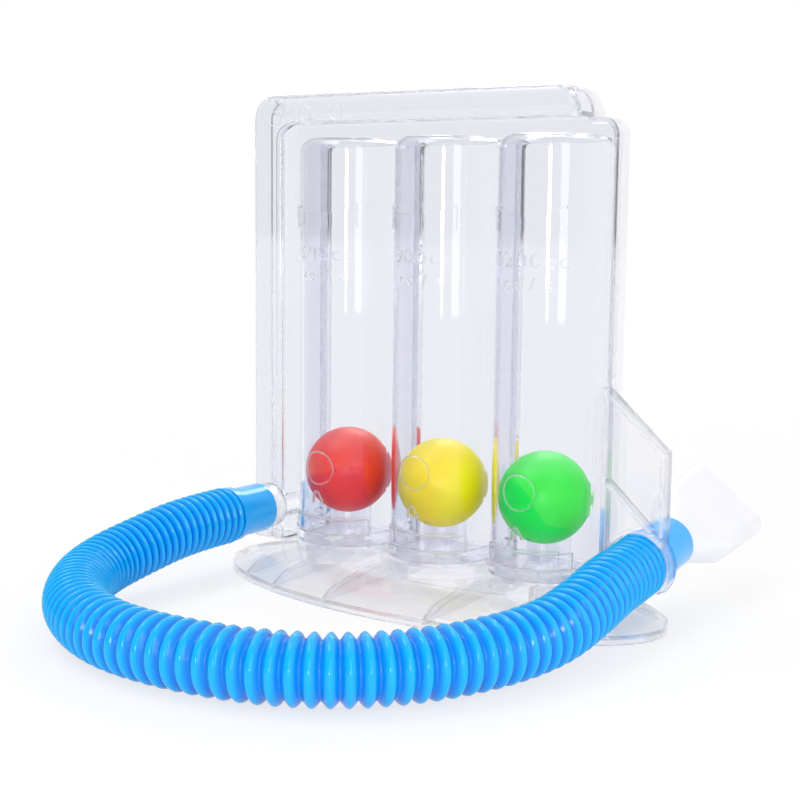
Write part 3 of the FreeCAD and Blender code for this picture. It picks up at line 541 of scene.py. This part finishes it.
def add_column_marks():
    """Figures, unit, ring, gate mark and foot frame on each column."""
    made = []
    columns = zip((-1, 0, 1), ("600", "900", "1200"), RING_HEIGHTS, GATE_HEIGHTS)
    for column, figure, ring_up, gate_up in columns:
        made.append(add_figures("figure_" + figure, figure + "cc", column,
                                FIGURE_HEIGHT, FIGURE_FOOT))
        made.append(add_figures("unit_" + figure, "cc / s", column, UNIT_HEIGHT, UNIT_FOOT))
        ring = [on_column(column, across, ring_up + up, 0.0)
                for across, up in circle_places(RING_STEPS, RING_RADIUS)]
        made.append(bead("ring_" + figure, ring, RING_BEAD, True))
        gate = [on_column(column, across * MM, gate_up + up * MM, GATE_RISE)
                for across, up in GATE_LINE]
        made.append(bead("gate_" + figure, gate, GATE_BEAD, False))
        frame_line = foot_frame_places(column)
        made.append(bead("foot_frame_" + figure, frame_line, FRAME_BEAD, True))
    return made


# The duct's face, with the round marks that the ejector pins left on it, millimetres
DUCT_FACE_Y = 3.0 * MM
EJECTOR_PLACES = ((-67.8, 149.0), (-55.0, 150.6), (-42.1, 150.6))
EJECTOR_RADIUS = 2.4 * MM
EJECTOR_BEAD = 0.12 * MM
EJECTOR_STEPS = 32


def add_ejector_marks():
    """Faint circles on the duct's face."""
    made = []
    for number, (x, z) in enumerate(EJECTOR_PLACES):
        ring = [Vector((x * MM + across, DUCT_FACE_Y, z * MM + up))
                for across, up in circle_places(EJECTOR_STEPS, EJECTOR_RADIUS)]
        made.append(bead("ejector_mark_%d" % number, ring, EJECTOR_BEAD, True))
    return made


for piece in add_column_marks() + add_ejector_marks():
    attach(piece, "housing")


# Finishes of the solids

SLEEVE_BLUE = sleeve_plastic()
FINISHES = {
    "front_shell": CLEAR_HOUSING,
    "rear_cover": CLEAR_COVER,
    "tube_bracket": CLEAR_FOOT,
    "column_floor_600": CLEAR_INSERT,
    "column_floor_900": CLEAR_INSERT,
    "column_floor_1200": CLEAR_INSERT,
    "outlet_nozzle": FROSTED_NOZZLE,
    "base_foot": CLEAR_FOOT,
    # The last colour of each ball is both its painted highlight at the top and its sheen's tint
    "ball_red": ball_plastic("ball_red_polystyrene", "E00834", "F6381A", "FFA098"),
    "ball_yellow": ball_plastic("ball_yellow_polystyrene", "FFE200", "FFF200", "FFFC80"),
    "ball_green": ball_plastic("ball_green_polystyrene", "00EC30", "2CFA50", "A8FFB4"),
    "mouthpiece": milky_plastic(),
    "cuff_nozzle_end": SLEEVE_BLUE,
    "cuff_mouth_end": SLEEVE_BLUE,
}

for name, material in FINISHES.items():
    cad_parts[name].material_slots[0].material = material


# Table, backdrop and light

# The table's half width, and how far it lies under the foot, metres
TABLE_REACH = 4.0
TABLE_DROP = 0.0002
# How much of the table's look is its own white rather than the light that reaches it
TABLE_WHITE = 0.74
# The table melts into the backdrop between these distances from the object, metres
TABLE_NEAR = 0.18
TABLE_FAR = 0.6
# What reflections and bent views find in front of the object, against 1 behind it,
# and where along Y the one turns into the other
ROOM_FRONT = 0.2
ROOM_TURN = (-0.8, 0.3)
THROUGH_FRONT = 0.15
THROUGH_TURN = (-0.6, 0.6)
# The backdrop's own light on the object
ROOM_LIGHT = 0.68


def seen_rays(tree, names):
    """1 for rays of any of these kinds."""
    rays = node(tree, "ShaderNodeLightPath")
    found = rays.outputs[names[0]]
    for name in names[1:]:
        found = node(tree, "ShaderNodeMath", {"operation": "MAXIMUM"},
                     i0=found, i1=rays.outputs[name]).outputs[0]
    return found


def add_table():
    """A white table top that keeps a faint shadow and runs out of view."""
    mesh = bpy.data.meshes.new("Table")
    work = bmesh.new()
    bmesh.ops.create_grid(work, x_segments=1, y_segments=1, size=TABLE_REACH)
    work.to_mesh(mesh)
    work.free()
    table = bpy.data.objects.new("Table", mesh)
    scene.collection.objects.link(table)
    table.location.z = -TABLE_DROP
    # Matt white card with a white of its own, on which the shadow stays faint
    material = new_material("white_table")
    tree = material.node_tree
    matt = node(tree, "ShaderNodeBsdfDiffuse", Color=colour("FAFAFA"))
    white = node(tree, "ShaderNodeEmission", Color=colour("FFFFFF"), Strength=1.0)
    place = node(tree, "ShaderNodeTexCoord").outputs["Object"]
    away = node(tree, "ShaderNodeVectorMath", {"operation": "LENGTH"}, i0=place)
    own = node(tree, "ShaderNodeMapRange", {"interpolation_type": "SMOOTHSTEP"},
               Value=away.outputs["Value"], From_Min=TABLE_NEAR, From_Max=TABLE_FAR,
               To_Min=TABLE_WHITE, To_Max=1.0)
    seen = seen_rays(tree, ("Is Camera Ray", "Is Transmission Ray", "Is Glossy Ray"))
    share = node(tree, "ShaderNodeMath", {"operation": "MULTIPLY"}, i0=seen, i1=own.outputs[0])
    both = node(tree, "ShaderNodeMixShader", i0=share.outputs[0],
                i1=matt.outputs[0], i2=white.outputs[0])
    node(tree, "ShaderNodeOutputMaterial", Surface=both.outputs[0])
    mesh.materials.append(material)


def add_world():
    """White backdrop; reflections and bent views see it behind the object, dimmer in front."""
    world = bpy.data.worlds.new("Studio")
    world.use_nodes = True
    tree = world.node_tree
    tree.nodes.clear()
    place = node(tree, "ShaderNodeTexCoord").outputs["Generated"]
    parts = node(tree, "ShaderNodeSeparateXYZ", Vector=place)
    room = node(tree, "ShaderNodeMapRange", Value=parts.outputs["Y"],
                From_Min=ROOM_TURN[0], From_Max=ROOM_TURN[1], To_Min=ROOM_FRONT, To_Max=1.0)
    through = node(tree, "ShaderNodeMapRange", Value=parts.outputs["Y"],
                   From_Min=THROUGH_TURN[0], From_Max=THROUGH_TURN[1],
                   To_Min=THROUGH_FRONT, To_Max=1.0)
    glossy, bent, light, white = [
        node(tree, "ShaderNodeBackground", Color=colour("FFFFFF"), Strength=strength)
        for strength in (room.outputs[0], through.outputs[0], ROOM_LIGHT, 1.0)
    ]
    lit = node(tree, "ShaderNodeMixShader", i0=seen_rays(tree, ("Is Glossy Ray",)),
               i1=light.outputs[0], i2=glossy.outputs[0])
    past = node(tree, "ShaderNodeMixShader", i0=seen_rays(tree, ("Is Transmission Ray",)),
                i1=lit.outputs[0], i2=bent.outputs[0])
    both = node(tree, "ShaderNodeMixShader", i0=seen_rays(tree, ("Is Camera Ray",)),
                i1=past.outputs[0], i2=white.outputs[0])
    node(tree, "ShaderNodeOutputWorld", Surface=both.outputs[0])
    scene.world = world


def add_lamp(name, place, aim, width, height, power):
    """A soft oblong lamp that faces a point."""
    data = bpy.data.lights.new(name, "AREA")
    data.shape = "RECTANGLE"
    data.size = width
    data.size_y = height
    data.energy = power
    lamp = bpy.data.objects.new(name, data)
    scene.collection.objects.link(lamp)
    lamp.location = place
    lamp.rotation_euler = (Vector(aim) - Vector(place)).to_track_quat("-Z", "Y").to_euler()


add_table()
add_world()
# Two upright soft boxes behind the camera draw the white stripes on the columns
add_lamp("LeftStrip", place=(0.449, -0.893, 0.46), aim=(0.0, 0.0, 0.40),
         width=0.10, height=0.9, power=1.1)
add_lamp("RightStrip", place=(0.839, -0.545, 0.46), aim=(0.0, 0.0, 0.40),
         width=0.31, height=0.9, power=2.4)
# A wide one overhead draws the long highlights on the sleeves and the hose
add_lamp("TopBox", place=(-0.35, -0.25, 0.95), aim=(0.0, -0.02, 0.05),
         width=0.4, height=0.4, power=2.2)
# One behind and above runs bright lines along the sleeves' tops, the folds and the clear rims
add_lamp("BackTop", place=(-0.35, 0.75, 0.75), aim=(0.0, 0.0, 0.05),
         width=0.4, height=0.15, power=1.7)
# A small bright one gives the glints on the folds of the hose and in the clear walls
add_lamp("FrontGlint", place=(0.33, -0.66, 0.12), aim=(0.0, -0.03, 0.08),
         width=0.08, height=0.12, power=0.6)

scene.view_settings.view_transform = "Standard"

# Light runs far along the clear walls before it leaves them at their edges
scene.cycles.max_bounces = 32
scene.cycles.glossy_bounces = 24
scene.cycles.transmission_bounces = 32
scene.cycles.transparent_max_bounces = 24
